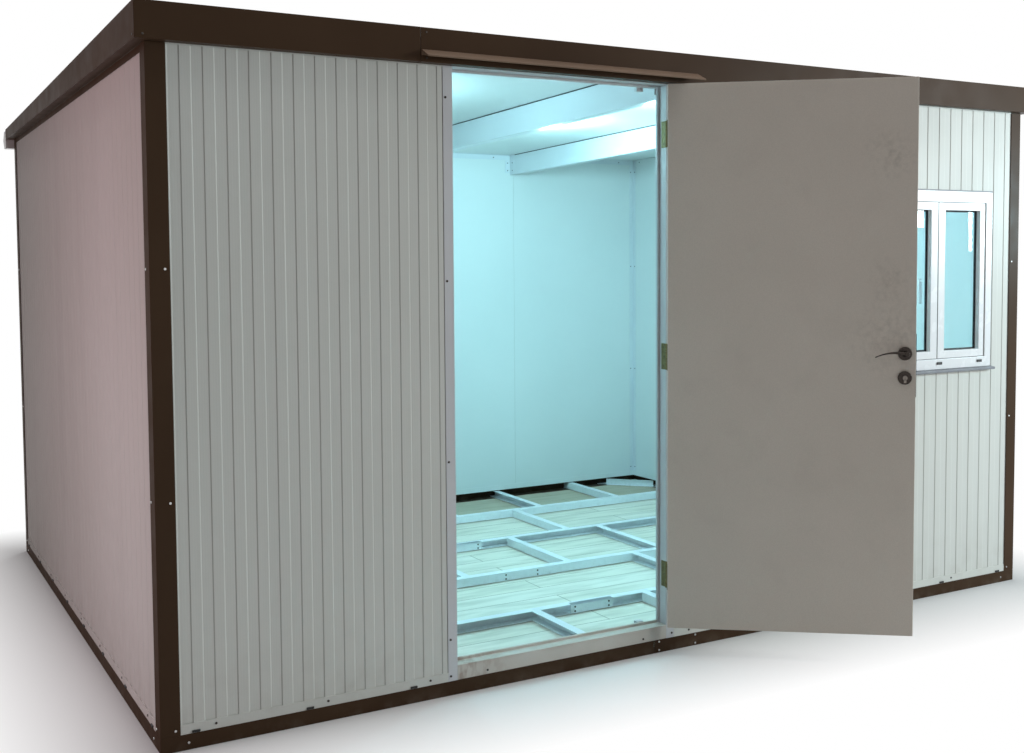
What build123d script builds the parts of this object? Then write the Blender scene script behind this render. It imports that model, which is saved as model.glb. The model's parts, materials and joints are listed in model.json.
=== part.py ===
"""Portable site cabin: ribbed sandwich panels on a folded steel base frame, with its door open.

X runs along the front from left to right, Y from the front into the cabin, Z up.
The origin is on the ground, under the middle of the front base rail. Sizes are in millimetres.
"""
import os

from build123d import *

os.makedirs("parts", exist_ok=True)

# Overall sizes
cabin_width = 4000.0
cabin_depth = 3000.0
ceiling_front_height = 2268.0
eaves_drop = 81.0
roof_fall = 60.0
roof_thickness = 30.0
roof_overhang = 37.0
sheet = 2.0
seam_gap = 1.0
cut_overrun = 300.0

# Base frame of folded channels, with smaller channels between them
rail_height = 50.0
rail_depth = 60.0
rail_steel = 3.0
rail_seam_from_left = 1894.0
joist_size = 40.0
joist_steel = 2.5
joist_count = 4
odd_bay_spaces = 7
even_bay_spaces = 3
splice_length = 220.0
splice_notch = 25.0
splice_set_in = 3.0
splice_drop = 5.0
brace_leg = 225.0
brace_depth = 15.0
brace_height = 40.0
brace_steel = 3.0

# Sandwich wall panels, their tracks and corner trims
panel_thickness = 50.0
panel_cover_width = 1000.0
joint_width = 1.6
joint_depth_outside = 5.0
joint_depth_inside = 1.2
rib_pitch = 73.0
rib_depth = 2.0
rib_flank = 3.5
first_rib_from_left = 65.3
track_flange = 31.5
head_strip_height = 4.0
corner_leg = 63.0
inside_angle_leg = 30.0

# Roof structure, door canopy and gutter
rafter_count = 3
rafter_width = 50.0
rafter_depth = 125.0
rafter_wall = 3.0
fascia_return = 45.0
fascia_leg = 24.0
fascia_seam_from_left = 901.5
canopy_from_left = 904.0
canopy_length = 1168.0
canopy_above_soffit = 41.0
canopy_reach = 50.0
canopy_drop = 26.0
canopy_leg = 20.0
canopy_hem = 5.0
gutter_rise = 24.0
gutter_height = 90.0
gutter_floor = 60.0
gutter_bulge = 40.0

# Door frame and leaf, given as the door is closed
frame_from_left = 1001.0
frame_face = 37.0
frame_body = 18.0
stop_width = 10.0
leaf_width = 905.0
leaf_thickness = 40.0
leaf_bottom = 108.0
leaf_below_soffit = 7.0
leaf_gap = 5.0
door_open_angle = 143.3

# Door hinges and lock furniture
hinge_from_leaf_bottom = 195.0
hinge_from_leaf_top = 182.0
hinge_height_shares = (0.0, 0.5, 1.0)
hinge_height = 100.0
hinge_plate_width = 28.0
hinge_plate = 2.3
knuckle_radius = 6.0
knuckle_proud = 6.0
knuckle_split = 0.6
knuckle_middle_share = 0.4
lever_height_above_leaf_bottom = 1060.0
lock_backset = 40.0
lock_centres = 90.0
rose_radius = 25.0
rose_thickness = 8.0
rose_edge = 2.0
neck_radius = 9.0
neck_length = 48.0
neck_play = 1.0
spindle_radius = 5.0
spindle_play = 2.0
lever_length = 112.0
lever_rise = 5.0
lever_droop = 9.0
lever_radius = 6.5
cylinder_radius = 8.5
cylinder_play = 0.5
cylinder_proud = 11.0
keyway_width = 2.0
keyway_height = 8.0
keyway_depth = 3.0
forend_height = 235.0
forend_width = 22.0
forend_plate = 3.0

# Double casement window
window_from_right = 187.0
window_width = 700.0
window_below_soffit = 367.0
window_height = 795.0
window_lap = 12.0
window_proud = 6.0
window_depth = 60.0
window_fit = 1.0
frame_side_face = 40.0
frame_top_face = 50.0
frame_bottom_face = 46.0
sash_stile = 35.0
sash_meeting_stile = 45.0
sash_rail = 35.0
sash_set_in = 5.0
sash_depth = 50.0
sash_fit = 1.0
pane_thickness = 6.0
pane_rebate = 8.0
sill_overhang = 12.0
sill_reach = 24.0
sill_thickness = 10.0
sill_slope = 4.0
handle_base_width = 28.0
handle_base_height = 66.0
handle_base_thickness = 10.0
handle_neck_radius = 7.0
handle_neck_length = 28.0
handle_grip_length = 105.0
handle_grip_width = 18.0
handle_grip_thickness = 10.0

# Places that follow from the sizes above
left = -cabin_width / 2
right = cabin_width / 2
front = -rail_depth / 2
back = front + cabin_depth
middle = (front + back) / 2
panel_outer = 2 * sheet
panel_inner = panel_outer + panel_thickness
track_inner = panel_inner + sheet
panel_bottom = rail_height + sheet
joist_bottom = (rail_height - joist_size) / 2
joist_top = joist_bottom + joist_size
soffit_height = ceiling_front_height - eaves_drop
head_strip_bottom = soffit_height - head_strip_height
side_length = {"front": cabin_width, "back": cabin_width, "left": cabin_depth, "right": cabin_depth}
side_place = {
    "front": Pos(0, front, 0),
    "back": Pos(0, back, 0) * Rot(0, 0, 180),
    "left": Pos(left, middle, 0) * Rot(0, 0, -90),
    "right": Pos(right, middle, 0) * Rot(0, 0, 90),
}
corners = [
    (y_name + "_" + x_name, x, x_in, y, y_in)
    for y_name, y, y_in in (("front", front, 1), ("back", back, -1))
    for x_name, x, x_in in (("left", left, 1), ("right", right, -1))
]


def save(name, shape):
    """Writes one piece under its own name."""
    export_step(shape, "parts/" + name + ".step")


def block(x0, x1, y0, y1, z0, z1):
    """Box from corner to corner."""
    return Pos((x0 + x1) / 2, (y0 + y1) / 2, (z0 + z1) / 2) * Box(x1 - x0, y1 - y0, z1 - z0)


def run(points, x0, x1):
    """Straight length along X of a section given as Y and Z."""
    section = Plane.YZ.offset(x0) * Polygon(*points, align=None)
    return extrude(section, amount=x1 - x0, dir=(1, 0, 0))


def upright(points, z0, z1):
    """Straight length along Z of a section given as X and Y."""
    section = Plane.XY.offset(z0) * Polygon(*points, align=None)
    return extrude(section, amount=z1 - z0, dir=(0, 0, 1))


def rod(radius, start, end):
    """Round bar along Y between two depths, at the given X and Z."""
    x, y0, z = start
    y1 = end
    return Pos(x, (y0 + y1) / 2, z) * Rot(90, 0, 0) * Cylinder(radius, abs(y1 - y0))


def ceiling_at(y):
    """Height of the roof panel's underside at a depth."""
    return ceiling_front_height - roof_fall * (y - front) / cabin_depth


def roof_layer(low, high, reach):
    """Sloping layer of the roof between two heights above its underside."""
    y0 = front - reach
    y1 = back + reach
    points = [
        (y0, ceiling_at(y0) + low),
        (y1, ceiling_at(y1) + low),
        (y1, ceiling_at(y1) + high),
        (y0, ceiling_at(y0) + high),
    ]
    return run(points, left - reach, right + reach)


def mitred(shape, half_length, low, high):
    """Cuts both ends of a side's length at 45 degrees, so that it meets its neighbours at the corners."""
    far = cut_overrun
    for sign in (1, -1):
        corner = [
            (sign * (half_length + far), -far),
            (sign * (half_length + far), far),
            (sign * (half_length - far), far),
        ]
        shape = shape - upright(corner, low, high)
    return shape


def base_rail(side):
    """Channel of the base frame, open to the inside, with mitred corners."""
    half = side_length[side] / 2
    inner_top = rail_height - rail_steel
    channel = run(
        [
            (0, 0),
            (rail_depth, 0),
            (rail_depth, rail_steel),
            (rail_steel, rail_steel),
            (rail_steel, inner_top),
            (rail_depth, inner_top),
            (rail_depth, rail_height),
            (0, rail_height),
        ],
        -half,
        half,
    )
    return side_place[side] * mitred(channel, half, -cut_overrun, rail_height + cut_overrun)


def floor_channel(x0, x1, y0, y1, web):
    """Channel of the floor frame with its web on one side, which is -x, +x, -y or +y."""
    hollow_x0 = x0 + joist_steel if web == "-x" else x0
    hollow_x1 = x1 - joist_steel if web == "+x" else x1
    hollow_y0 = y0 + joist_steel if web == "-y" else y0
    hollow_y1 = y1 - joist_steel if web == "+y" else y1
    hollow_z = (joist_bottom + joist_steel, joist_top - joist_steel)
    return block(x0, x1, y0, y1, joist_bottom, joist_top) - block(
        hollow_x0, hollow_x1, hollow_y0, hollow_y1, *hollow_z
    )


def ribbed_slab(side, length, first_rib, top):
    """Wall of panels along X, with box ribs rolled in their outer skin, which faces -Y, and joints between them."""
    half = length / 2
    valley = panel_outer + rib_depth
    points = [(-half, panel_outer)]
    start = first_rib - half
    while start + rib_pitch / 2 + rib_flank < half:
        points += [
            (start, panel_outer),
            (start + rib_flank, valley),
            (start + rib_pitch / 2, valley),
            (start + rib_pitch / 2 + rib_flank, panel_outer),
        ]
        start += rib_pitch
    points += [(half, panel_outer), (half, panel_inner), (-half, panel_inner)]
    slab = upright(points, panel_bottom, top)
    joint = panel_cover_width - side_length[side] / 2
    while joint < half:
        edges = (joint - joint_width / 2, joint + joint_width / 2)
        slab = slab - block(*edges, panel_outer, panel_outer + joint_depth_outside, panel_bottom, top)
        slab = slab - block(*edges, panel_inner - joint_depth_inside, panel_inner, panel_bottom, top)
        joint += panel_cover_width
    return slab


def foot_track(x0, x1):
    """U-shaped track that the panels stand in."""
    flange_top = rail_height + track_flange
    points = [
        (sheet, rail_height),
        (track_inner, rail_height),
        (track_inner, flange_top),
        (panel_inner, flange_top),
        (panel_inner, panel_bottom),
        (panel_outer, panel_bottom),
        (panel_outer, flange_top),
        (sheet, flange_top),
    ]
    return run(points, x0, x1)


# Base frame
front_rail = base_rail("front")
rail_seam = left + rail_seam_from_left
rail_zone = (front - cut_overrun, back, -cut_overrun, rail_height + cut_overrun)
save("base_front_rail_left", front_rail & block(left - cut_overrun, rail_seam - seam_gap / 2, *rail_zone))
save("base_front_rail_right", front_rail & block(rail_seam + seam_gap / 2, right + cut_overrun, *rail_zone))
for side in ("back", "left", "right"):
    save("base_" + side + "_rail", base_rail(side))

# Floor joists from side to side, turned back to back in pairs, with short channels between them, fewer in every other bay
joist_spacing = cabin_depth / (joist_count + 1)
joist_lines = [front + joist_spacing * number for number in range(1, joist_count + 1)]
splices = []
for number, line in enumerate(joist_lines, 1):
    y0 = line - joist_size / 2
    y1 = line + joist_size / 2
    opens_forward = number % 2 == 1
    joist = floor_channel(left + rail_steel, right - rail_steel, y0, y1, "+y" if opens_forward else "-y")
    if opens_forward:
        notch_x = (-splice_length / 2, splice_length / 2)
        joist = joist - block(*notch_x, y0, y0 + splice_notch, joist_top - joist_steel, joist_top)
        splice_y = (y0 + splice_set_in, y0 + splice_set_in + joist_steel)
        splices.append(block(*notch_x, *splice_y, joist_bottom + joist_steel, joist_top - splice_drop))
    save("floor_joist_" + str(number), joist)
save("floor_joist_splices", Compound(children=splices))

bay_starts = [front + rail_steel] + [line + joist_size / 2 for line in joist_lines]
bay_ends = [line - joist_size / 2 for line in joist_lines] + [back - rail_steel]
noggins = []
for bay, (y0, y1) in enumerate(zip(bay_starts, bay_ends), 1):
    even_bay = bay % 2 == 0
    spaces = even_bay_spaces if even_bay else odd_bay_spaces
    for number in range(1, spaces):
        x = left + cabin_width * number / spaces
        turn = number + (bay // 2 if even_bay else 0)
        web = "+x" if turn % 2 == 1 else "-x"
        noggins.append(floor_channel(x - joist_size / 2, x + joist_size / 2, y0, y1, web))
save("floor_noggins", Compound(children=noggins))

# Corner braces: a plate on the rails' bottom flanges and a tray standing across its edge
braces = []
brace_line = 2 * rail_depth + brace_leg
for name, x, x_in, y, y_in in corners:

    def brace_part(ends, back_from, back_to, z0, z1):
        """Upright block along the brace, between two depths behind its face and in by the ends' amount."""
        points = []
        for depth, flip in ((back_from, False), (back_to, True)):
            shift = depth / 2**0.5
            along = rail_depth + ends / 2**0.5
            pair = [(brace_line - along - shift, along - shift), (along - shift, brace_line - along - shift)]
            points += pair[::-1] if flip else pair
        return upright([(x + x_in * a, y + y_in * b) for a, b in points], z0, z1)

    z0 = rail_steel
    z1 = z0 + brace_height
    tray = brace_part(0, 0, brace_depth, z0, z1)
    tray = tray - brace_part(brace_steel, 0, brace_depth - brace_steel, z0 + brace_steel, z1 - brace_steel)
    edge = brace_line - brace_depth * 2**0.5
    corner_plate = [(rail_steel, rail_steel), (edge - rail_steel, rail_steel), (rail_steel, edge - rail_steel)]
    plate = upright([(x + x_in * a, y + y_in * b) for a, b in corner_plate], z0, z0 + brace_steel)
    braces.append(tray + plate)
save("floor_corner_gussets", Compound(children=braces))

# Door and window places
frame_left = left + frame_from_left
rebate_left = frame_left + frame_face
rebate_right = rebate_left + leaf_width + 2 * leaf_gap
frame_right = rebate_right + frame_face
body_left = rebate_left - frame_body
body_right = rebate_right + frame_body
leaf_left = rebate_left + leaf_gap
leaf_right = leaf_left + leaf_width
leaf_top = soffit_height - leaf_below_soffit
head_rebate = leaf_top + leaf_gap
head_top = head_rebate + frame_body
leaf_outer = front + sheet
leaf_inner = leaf_outer + leaf_thickness
stop_face = leaf_inner + leaf_gap
window_right = right - window_from_right
window_left = window_right - window_width
window_top = soffit_height - window_below_soffit
window_bottom = window_top - window_height
cutout_left = window_left + window_lap
cutout_right = window_right - window_lap
cutout_bottom = window_bottom + window_lap
cutout_top = window_top - window_lap

# Walls, cut to the slope of the roof
above_ceiling = roof_layer(0, cut_overrun, cut_overrun)
wall_reach = ceiling_front_height + sheet
front_slab_length = cabin_width - 2 * track_inner
front_slab = ribbed_slab("front", front_slab_length, first_rib_from_left - track_inner, wall_reach)
front_slab = side_place["front"] * front_slab - above_ceiling
slab_y = (front, front + panel_inner)
low = panel_bottom
high = wall_reach + cut_overrun
save("front_wall_left", front_slab & block(left, body_left, *slab_y, low, high))
save("front_wall_over_door", front_slab & block(body_left, body_right, *slab_y, head_top, high))
save("front_wall_middle", front_slab & block(body_right, cutout_left, *slab_y, low, high))
save("front_wall_under_window", front_slab & block(cutout_left, cutout_right, *slab_y, low, cutout_bottom))
save("front_wall_over_window", front_slab & block(cutout_left, cutout_right, *slab_y, cutout_top, high))
save("front_wall_right", front_slab & block(cutout_right, right, *slab_y, low, high))
back_slab = ribbed_slab("back", front_slab_length, first_rib_from_left - track_inner, wall_reach)
save("back_wall", side_place["back"] * back_slab - above_ceiling)
side_slab_length = cabin_depth - 2 * panel_outer
side_slab = ribbed_slab("left", side_slab_length, first_rib_from_left - panel_outer, wall_reach)
for side in ("left", "right"):
    save(side + "_wall", side_place[side] * side_slab - above_ceiling)

# Foot tracks, and the strips over the front panels' heads
side_half = cabin_depth / 2 - panel_outer
front_half = cabin_width / 2 - track_inner
tracks = [
    side_place["front"] * foot_track(-front_half, frame_left),
    side_place["front"] * foot_track(frame_right, front_half),
    side_place["back"] * foot_track(-front_half, front_half),
    side_place["left"] * foot_track(-side_half, side_half),
    side_place["right"] * foot_track(-side_half, side_half),
]
save("wall_foot_tracks", Compound(children=tracks))
strip_y = (front + sheet, front + panel_outer)
strips = [
    block(-front_half, frame_left, *strip_y, head_strip_bottom, soffit_height),
    block(frame_right, front_half, *strip_y, head_strip_bottom, soffit_height),
]
save("wall_head_strips", Compound(children=strips))

# Corner trims outside and inside


def angle_trim(x, x_in, y, y_in, leg, z0, z1):
    """Folded angle with equal legs, from its corner inwards."""
    points = [
        (x, y),
        (x + x_in * leg, y),
        (x + x_in * leg, y + y_in * sheet),
        (x + x_in * sheet, y + y_in * sheet),
        (x + x_in * sheet, y + y_in * leg),
        (x, y + y_in * leg),
    ]
    return upright(points, z0, z1)


inside_angles = []
for name, x, x_in, y, y_in in corners:
    save("corner_trim_" + name, angle_trim(x, x_in, y, y_in, corner_leg, rail_height, soffit_height))
    inside = (x + x_in * panel_inner, x_in, y + y_in * panel_inner, y_in, inside_angle_leg)
    inside_angles.append(angle_trim(*inside, rail_height + track_flange, wall_reach) - above_ceiling)
save("inside_corner_angles", Compound(children=inside_angles))

# Roof panel and the rafters under it
roof_edge = roof_overhang - sheet
save("roof_panel", roof_layer(0, roof_thickness, roof_edge))
rafter_start = front + track_inner
rafter_end = back - panel_inner


def rafter_part(inset, x0, x1):
    """Rafter outline, drawn in by an inset, between two places along X."""
    bottom_start = ceiling_at(rafter_start) - rafter_depth + inset
    bottom_end = ceiling_at(rafter_end) - rafter_depth + inset
    points = [
        (rafter_start, bottom_start),
        (rafter_end, bottom_end),
        (rafter_end, ceiling_at(rafter_end) - inset),
        (rafter_start, ceiling_at(rafter_start) - inset),
    ]
    return run(points, x0 + inset, x1 - inset)


for number in range(1, rafter_count + 1):
    x = left + cabin_width * number / (rafter_count + 1)
    ends = (x - rafter_width / 2, x + rafter_width / 2)
    save("rafter_" + str(number), rafter_part(0, *ends) - rafter_part(rafter_wall, *ends))


def fascia(side, leg_inner, leg_bottom):
    """Folded eaves trim: a face, a soffit back to the wall, a leg down the wall and a return on the roof."""
    half = side_length[side] / 2
    reach = half + roof_overhang
    face_top = ceiling_front_height + cut_overrun
    face = run(
        [
            (-roof_overhang, soffit_height),
            (-roof_overhang + sheet, soffit_height),
            (-roof_overhang + sheet, face_top),
            (-roof_overhang, face_top),
        ],
        -reach,
        reach,
    )
    soffit = block(-reach, reach, -roof_overhang, leg_inner, soffit_height, soffit_height + sheet)
    trim = face + soffit
    if leg_bottom < soffit_height:
        trim = trim + block(-half, half, leg_inner - sheet, leg_inner, leg_bottom, soffit_height + sheet)
    trim = side_place[side] * trim - roof_layer(roof_thickness + sheet, 2 * cut_overrun, cut_overrun)
    return_zone = block(
        -reach, reach, -roof_overhang, fascia_return - roof_overhang, soffit_height, face_top + cut_overrun
    )
    lip = roof_layer(roof_thickness, roof_thickness + sheet, roof_overhang) & (side_place[side] * return_zone)
    trim = trim + lip
    local = side_place[side].inverse() * trim
    local = mitred(local, half, soffit_height - cut_overrun, face_top + cut_overrun)
    return side_place[side] * local


front_fascia = fascia("front", sheet, soffit_height)
fascia_seam = left + fascia_seam_from_left
fascia_zone = (front - cut_overrun, back, soffit_height - cut_overrun, soffit_height + cut_overrun)
save("fascia_front_left", front_fascia & block(left - cut_overrun, fascia_seam - seam_gap / 2, *fascia_zone))
save("fascia_front_right", front_fascia & block(fascia_seam + seam_gap / 2, right + cut_overrun, *fascia_zone))
for side in ("back", "left", "right"):
    save("fascia_" + side, fascia(side, panel_outer, soffit_height - fascia_leg))

# Drip canopy over the door, fixed to the fascia
canopy_y = front - roof_overhang
canopy_front = canopy_y - canopy_reach
canopy_height = soffit_height + canopy_above_soffit
canopy_low = canopy_height - canopy_drop
canopy_left = left + canopy_from_left
canopy = run(
    [
        (canopy_y, canopy_height),
        (canopy_front, canopy_low),
        (canopy_front, canopy_low - canopy_hem),
        (canopy_front + sheet, canopy_low - canopy_hem),
        (canopy_front + sheet, canopy_low - sheet),
        (canopy_y - sheet, canopy_height - 2 * sheet),
        (canopy_y - sheet, canopy_height - canopy_leg),
        (canopy_y, canopy_height - canopy_leg),
    ],
    canopy_left,
    canopy_left + canopy_length,
)
save("door_canopy", canopy)

# Gutter along the back eaves, with its end caps
gutter_back = -roof_overhang
gutter_top = ceiling_at(back) + gutter_rise
gutter_outline = [
    (gutter_back, gutter_top),
    (gutter_back, gutter_top - gutter_height),
    (gutter_back - gutter_floor, gutter_top - gutter_height),
    (gutter_back - gutter_floor - gutter_bulge, gutter_top - gutter_height / 2),
    (gutter_back - gutter_floor, gutter_top),
]
gutter_half = cabin_width / 2 + roof_overhang - sheet
gutter_inside = offset(Polygon(*gutter_outline, align=None), amount=-sheet)
gutter_void = extrude(Plane.YZ.offset(-gutter_half) * gutter_inside, amount=2 * gutter_half, dir=(1, 0, 0))
gutter_mouth = block(
    -gutter_half,
    gutter_half,
    gutter_back - gutter_floor + sheet,
    gutter_back - sheet,
    gutter_top - gutter_height / 2,
    gutter_top + cut_overrun,
)
gutter = run(gutter_outline, -gutter_half, gutter_half) - gutter_void - gutter_mouth
save("gutter", side_place["back"] * gutter)
caps = [
    side_place["back"] * run(gutter_outline, gutter_half, gutter_half + sheet),
    side_place["back"] * run(gutter_outline, -gutter_half - sheet, -gutter_half),
]
save("gutter_end_caps", Compound(children=caps))

# Door frame: two jambs and a head with a rebate for the leaf, and a stepped threshold
flange_outer = front + sheet
flange_inner = front + panel_outer
body_inner = front + panel_inner
frame_back = front + track_inner


def jamb(edge, rebate, body, inward):
    """Jamb section from its flange on the wall to its stop. Inward is +1 towards +X."""
    stop = rebate + inward * stop_width
    return upright(
        [
            (edge, flange_outer),
            (rebate, flange_outer),
            (rebate, stop_face),
            (stop, stop_face),
            (stop, frame_back),
            (edge, frame_back),
            (edge, body_inner),
            (body, body_inner),
            (body, flange_inner),
            (edge, flange_inner),
        ],
        rail_height,
        head_top,
    )


save("door_jamb_left", jamb(frame_left, rebate_left, body_left, 1))
save("door_jamb_right", jamb(frame_right, rebate_right, body_right, -1))
head = run(
    [
        (flange_outer, head_rebate),
        (stop_face, head_rebate),
        (stop_face, head_rebate - stop_width),
        (frame_back, head_rebate - stop_width),
        (frame_back, head_top),
        (flange_outer, head_top),
    ],
    rebate_left,
    rebate_right,
)
for inner, outer in ((rebate_left, rebate_left + stop_width), (rebate_right - stop_width, rebate_right)):
    head = head - block(inner, outer, stop_face, frame_back, head_rebate - cut_overrun, head_top)
save("door_head", head)
ledge = leaf_bottom - leaf_gap
threshold = run(
    [
        (flange_outer, rail_height),
        (frame_back, rail_height),
        (frame_back, ledge + stop_width),
        (stop_face, ledge + stop_width),
        (stop_face, ledge),
        (flange_outer, ledge),
    ],
    rebate_left,
    rebate_right,
)
for inner, outer in ((rebate_left, rebate_left + stop_width), (rebate_right - stop_width, rebate_right)):
    threshold = threshold - block(inner, outer, stop_face, frame_back, rail_height, head_top)
save("door_threshold", threshold)

# Door leaf and what it carries, built closed and then swung open about the hinge pins
hinge_x = (leaf_right + rebate_right) / 2
hinge_y = leaf_outer - knuckle_proud
swing = Pos(hinge_x, hinge_y, 0) * Rot(0, 0, door_open_angle) * Pos(-hinge_x, -hinge_y, 0)
lock_x = leaf_left + lock_backset
lever_z = leaf_bottom + lever_height_above_leaf_bottom
cylinder_z = lever_z - lock_centres
forend_z = (lever_z + cylinder_z) / 2
leaf_middle = (leaf_outer + leaf_inner) / 2
forend = block(
    leaf_left,
    leaf_left + forend_plate,
    leaf_middle - forend_width / 2,
    leaf_middle + forend_width / 2,
    forend_z - forend_height / 2,
    forend_z + forend_height / 2,
)
leaf = block(leaf_left, leaf_right, leaf_outer, leaf_inner, leaf_bottom, leaf_top) - forend
leaf = leaf - rod(spindle_radius + spindle_play, (lock_x, leaf_outer, lever_z), leaf_inner)
leaf = leaf - rod(cylinder_radius + cylinder_play, (lock_x, leaf_outer, cylinder_z), leaf_inner)
save("door_leaf", swing * leaf)
save("door_lock_forend", swing * forend)

roses = []
for face, outward in ((leaf_outer, -1), (leaf_inner, 1)):
    for z, hole in ((lever_z, neck_radius + neck_play), (cylinder_z, cylinder_radius + cylinder_play)):
        rose = rod(rose_radius, (lock_x, face, z), face + outward * rose_thickness)
        rim = rose.faces().sort_by(Axis.Y)[-1 if outward > 0 else 0].edges()
        rose = fillet(rim, rose_edge)
        roses.append(swing * (rose - rod(hole, (lock_x, face, z), face + outward * rose_thickness)))
save("door_lock_roses", Compound(children=roses))

cylinder = rod(cylinder_radius, (lock_x, leaf_outer - cylinder_proud, cylinder_z), leaf_inner + cylinder_proud)
for face, outward in ((leaf_outer - cylinder_proud, -1), (leaf_inner + cylinder_proud, 1)):
    cylinder = cylinder - block(
        lock_x - keyway_width / 2,
        lock_x + keyway_width / 2,
        min(face, face - outward * keyway_depth),
        max(face, face - outward * keyway_depth),
        cylinder_z - keyway_height / 2,
        cylinder_z + keyway_height / 2,
    )
save("door_lock_cylinder", swing * cylinder)

lever = rod(spindle_radius, (lock_x, leaf_outer, lever_z), leaf_inner)
for face, outward in ((leaf_outer, -1), (leaf_inner, 1)):
    tip = face + outward * neck_length
    grip_y = tip - outward * lever_radius
    arc = ThreePointArc(
        (lock_x, grip_y, lever_z),
        (lock_x + lever_length / 2, grip_y, lever_z + lever_rise),
        (lock_x + lever_length, grip_y, lever_z - lever_droop),
    )
    grip = sweep(Plane(arc @ 0, z_dir=arc % 0) * Circle(lever_radius), path=arc)
    lever = lever + rod(neck_radius, (lock_x, face, lever_z), tip) + grip + Pos(arc @ 1) * Sphere(lever_radius)
save("door_lever", swing * lever)

# Butt hinges: the jamb's plates carry the outer knuckles, the leaf's plates the middle ones
middle_half = hinge_height * knuckle_middle_share / 2
door_plates = []
jamb_plates = []
lowest_hinge = leaf_bottom + hinge_from_leaf_bottom
highest_hinge = leaf_top - hinge_from_leaf_top
for share in hinge_height_shares:
    z = lowest_hinge + (highest_hinge - lowest_hinge) * share
    z0 = z - hinge_height / 2
    z1 = z + hinge_height / 2
    plate_end = hinge_y + knuckle_radius + hinge_plate_width
    door_plate = block(leaf_right, leaf_right + hinge_plate, hinge_y, plate_end, z0, z1)
    jamb_plate = block(rebate_right - hinge_plate, rebate_right, hinge_y, plate_end, z0, z1)
    barrel = Pos(hinge_x, hinge_y, z) * Cylinder(knuckle_radius, 2 * middle_half)
    ends = []
    for start, end in ((z0, z - middle_half - knuckle_split), (z + middle_half + knuckle_split, z1)):
        ends.append(Pos(hinge_x, hinge_y, (start + end) / 2) * Cylinder(knuckle_radius, end - start))
    clear = Pos(hinge_x, hinge_y, z) * Cylinder(knuckle_radius + knuckle_split, hinge_height)
    middle_zone = block(
        left, right, front - cut_overrun, back, z - middle_half - knuckle_split, z + middle_half + knuckle_split
    )
    door_plates.append(swing * (door_plate - (clear - middle_zone) + barrel))
    jamb_plates.append(jamb_plate - (clear & middle_zone) + ends[0] + ends[1])
save("door_hinge_leaf_plates", Compound(children=door_plates))
save("door_hinge_jamb_plates", Compound(children=jamb_plates))

# Double casement window: frame, two sashes, panes, sill and inside handle
window_outer = front + panel_outer - window_proud
window_inner = window_outer + window_depth
light_left = window_left + frame_side_face
light_right = window_right - frame_side_face
light_bottom = window_bottom + frame_bottom_face
light_top = window_top - frame_top_face
casing = block(window_left, window_right, window_outer, front + panel_outer, window_bottom, window_top)
casing = casing + block(
    cutout_left + window_fit,
    cutout_right - window_fit,
    window_outer,
    window_inner,
    cutout_bottom + window_fit,
    cutout_top - window_fit,
)
casing = casing - block(light_left, light_right, front - cut_overrun, back, light_bottom, light_top)
save("window_frame", casing)

meeting = (light_left + light_right) / 2
sash_outer = window_outer + sash_set_in
sash_inner = sash_outer + sash_depth
pane_y = (sash_outer + sash_inner) / 2
panes = []
for name, x0, x1, stile0, stile1 in (
    ("left", light_left + sash_fit / 2, meeting - sash_fit / 2, sash_stile, sash_meeting_stile),
    ("right", meeting + sash_fit / 2, light_right - sash_fit / 2, sash_meeting_stile, sash_stile),
):
    z0 = light_bottom + sash_fit / 2
    z1 = light_top - sash_fit / 2
    g0 = x0 + stile0
    g1 = x1 - stile1
    gz0 = z0 + sash_rail
    gz1 = z1 - sash_rail
    pane = block(
        g0 - pane_rebate,
        g1 + pane_rebate,
        pane_y - pane_thickness / 2,
        pane_y + pane_thickness / 2,
        gz0 - pane_rebate,
        gz1 + pane_rebate,
    )
    sash = block(x0, x1, sash_outer, sash_inner, z0, z1) - block(g0, g1, front - cut_overrun, back, gz0, gz1)
    save("window_sash_" + name, sash - pane)
    panes.append(pane)
save("window_panes", Compound(children=panes))

sill_y = front + panel_outer
sill = run(
    [
        (sill_y, window_bottom),
        (sill_y - sill_reach, window_bottom - sill_slope),
        (sill_y - sill_reach, window_bottom - sill_slope - sill_thickness),
        (sill_y, window_bottom - sill_slope - sill_thickness),
    ],
    window_left - sill_overhang,
    window_right + sill_overhang,
)
save("window_sill", sill)

handle_x = meeting - sash_fit / 2 - sash_meeting_stile / 2
handle_z = (light_bottom + light_top) / 2
handle_face = sash_inner + handle_base_thickness
handle = block(
    handle_x - handle_base_width / 2,
    handle_x + handle_base_width / 2,
    sash_inner,
    handle_face,
    handle_z - handle_base_height / 2,
    handle_z + handle_base_height / 2,
)
handle = handle + rod(handle_neck_radius, (handle_x, handle_face, handle_z), handle_face + handle_neck_length)
handle = handle + block(
    handle_x - handle_grip_width / 2,
    handle_x + handle_grip_width / 2,
    handle_face + handle_neck_length - handle_grip_thickness,
    handle_face + handle_neck_length,
    handle_z - handle_grip_length,
    handle_z + handle_grip_width / 2,
)
save("window_handle", handle)
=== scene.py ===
"""Portable site cabin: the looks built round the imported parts, in metres, in the parts' own frame."""
import json
import math

import bmesh
import bpy
from mathutils import Matrix, Vector


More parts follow.
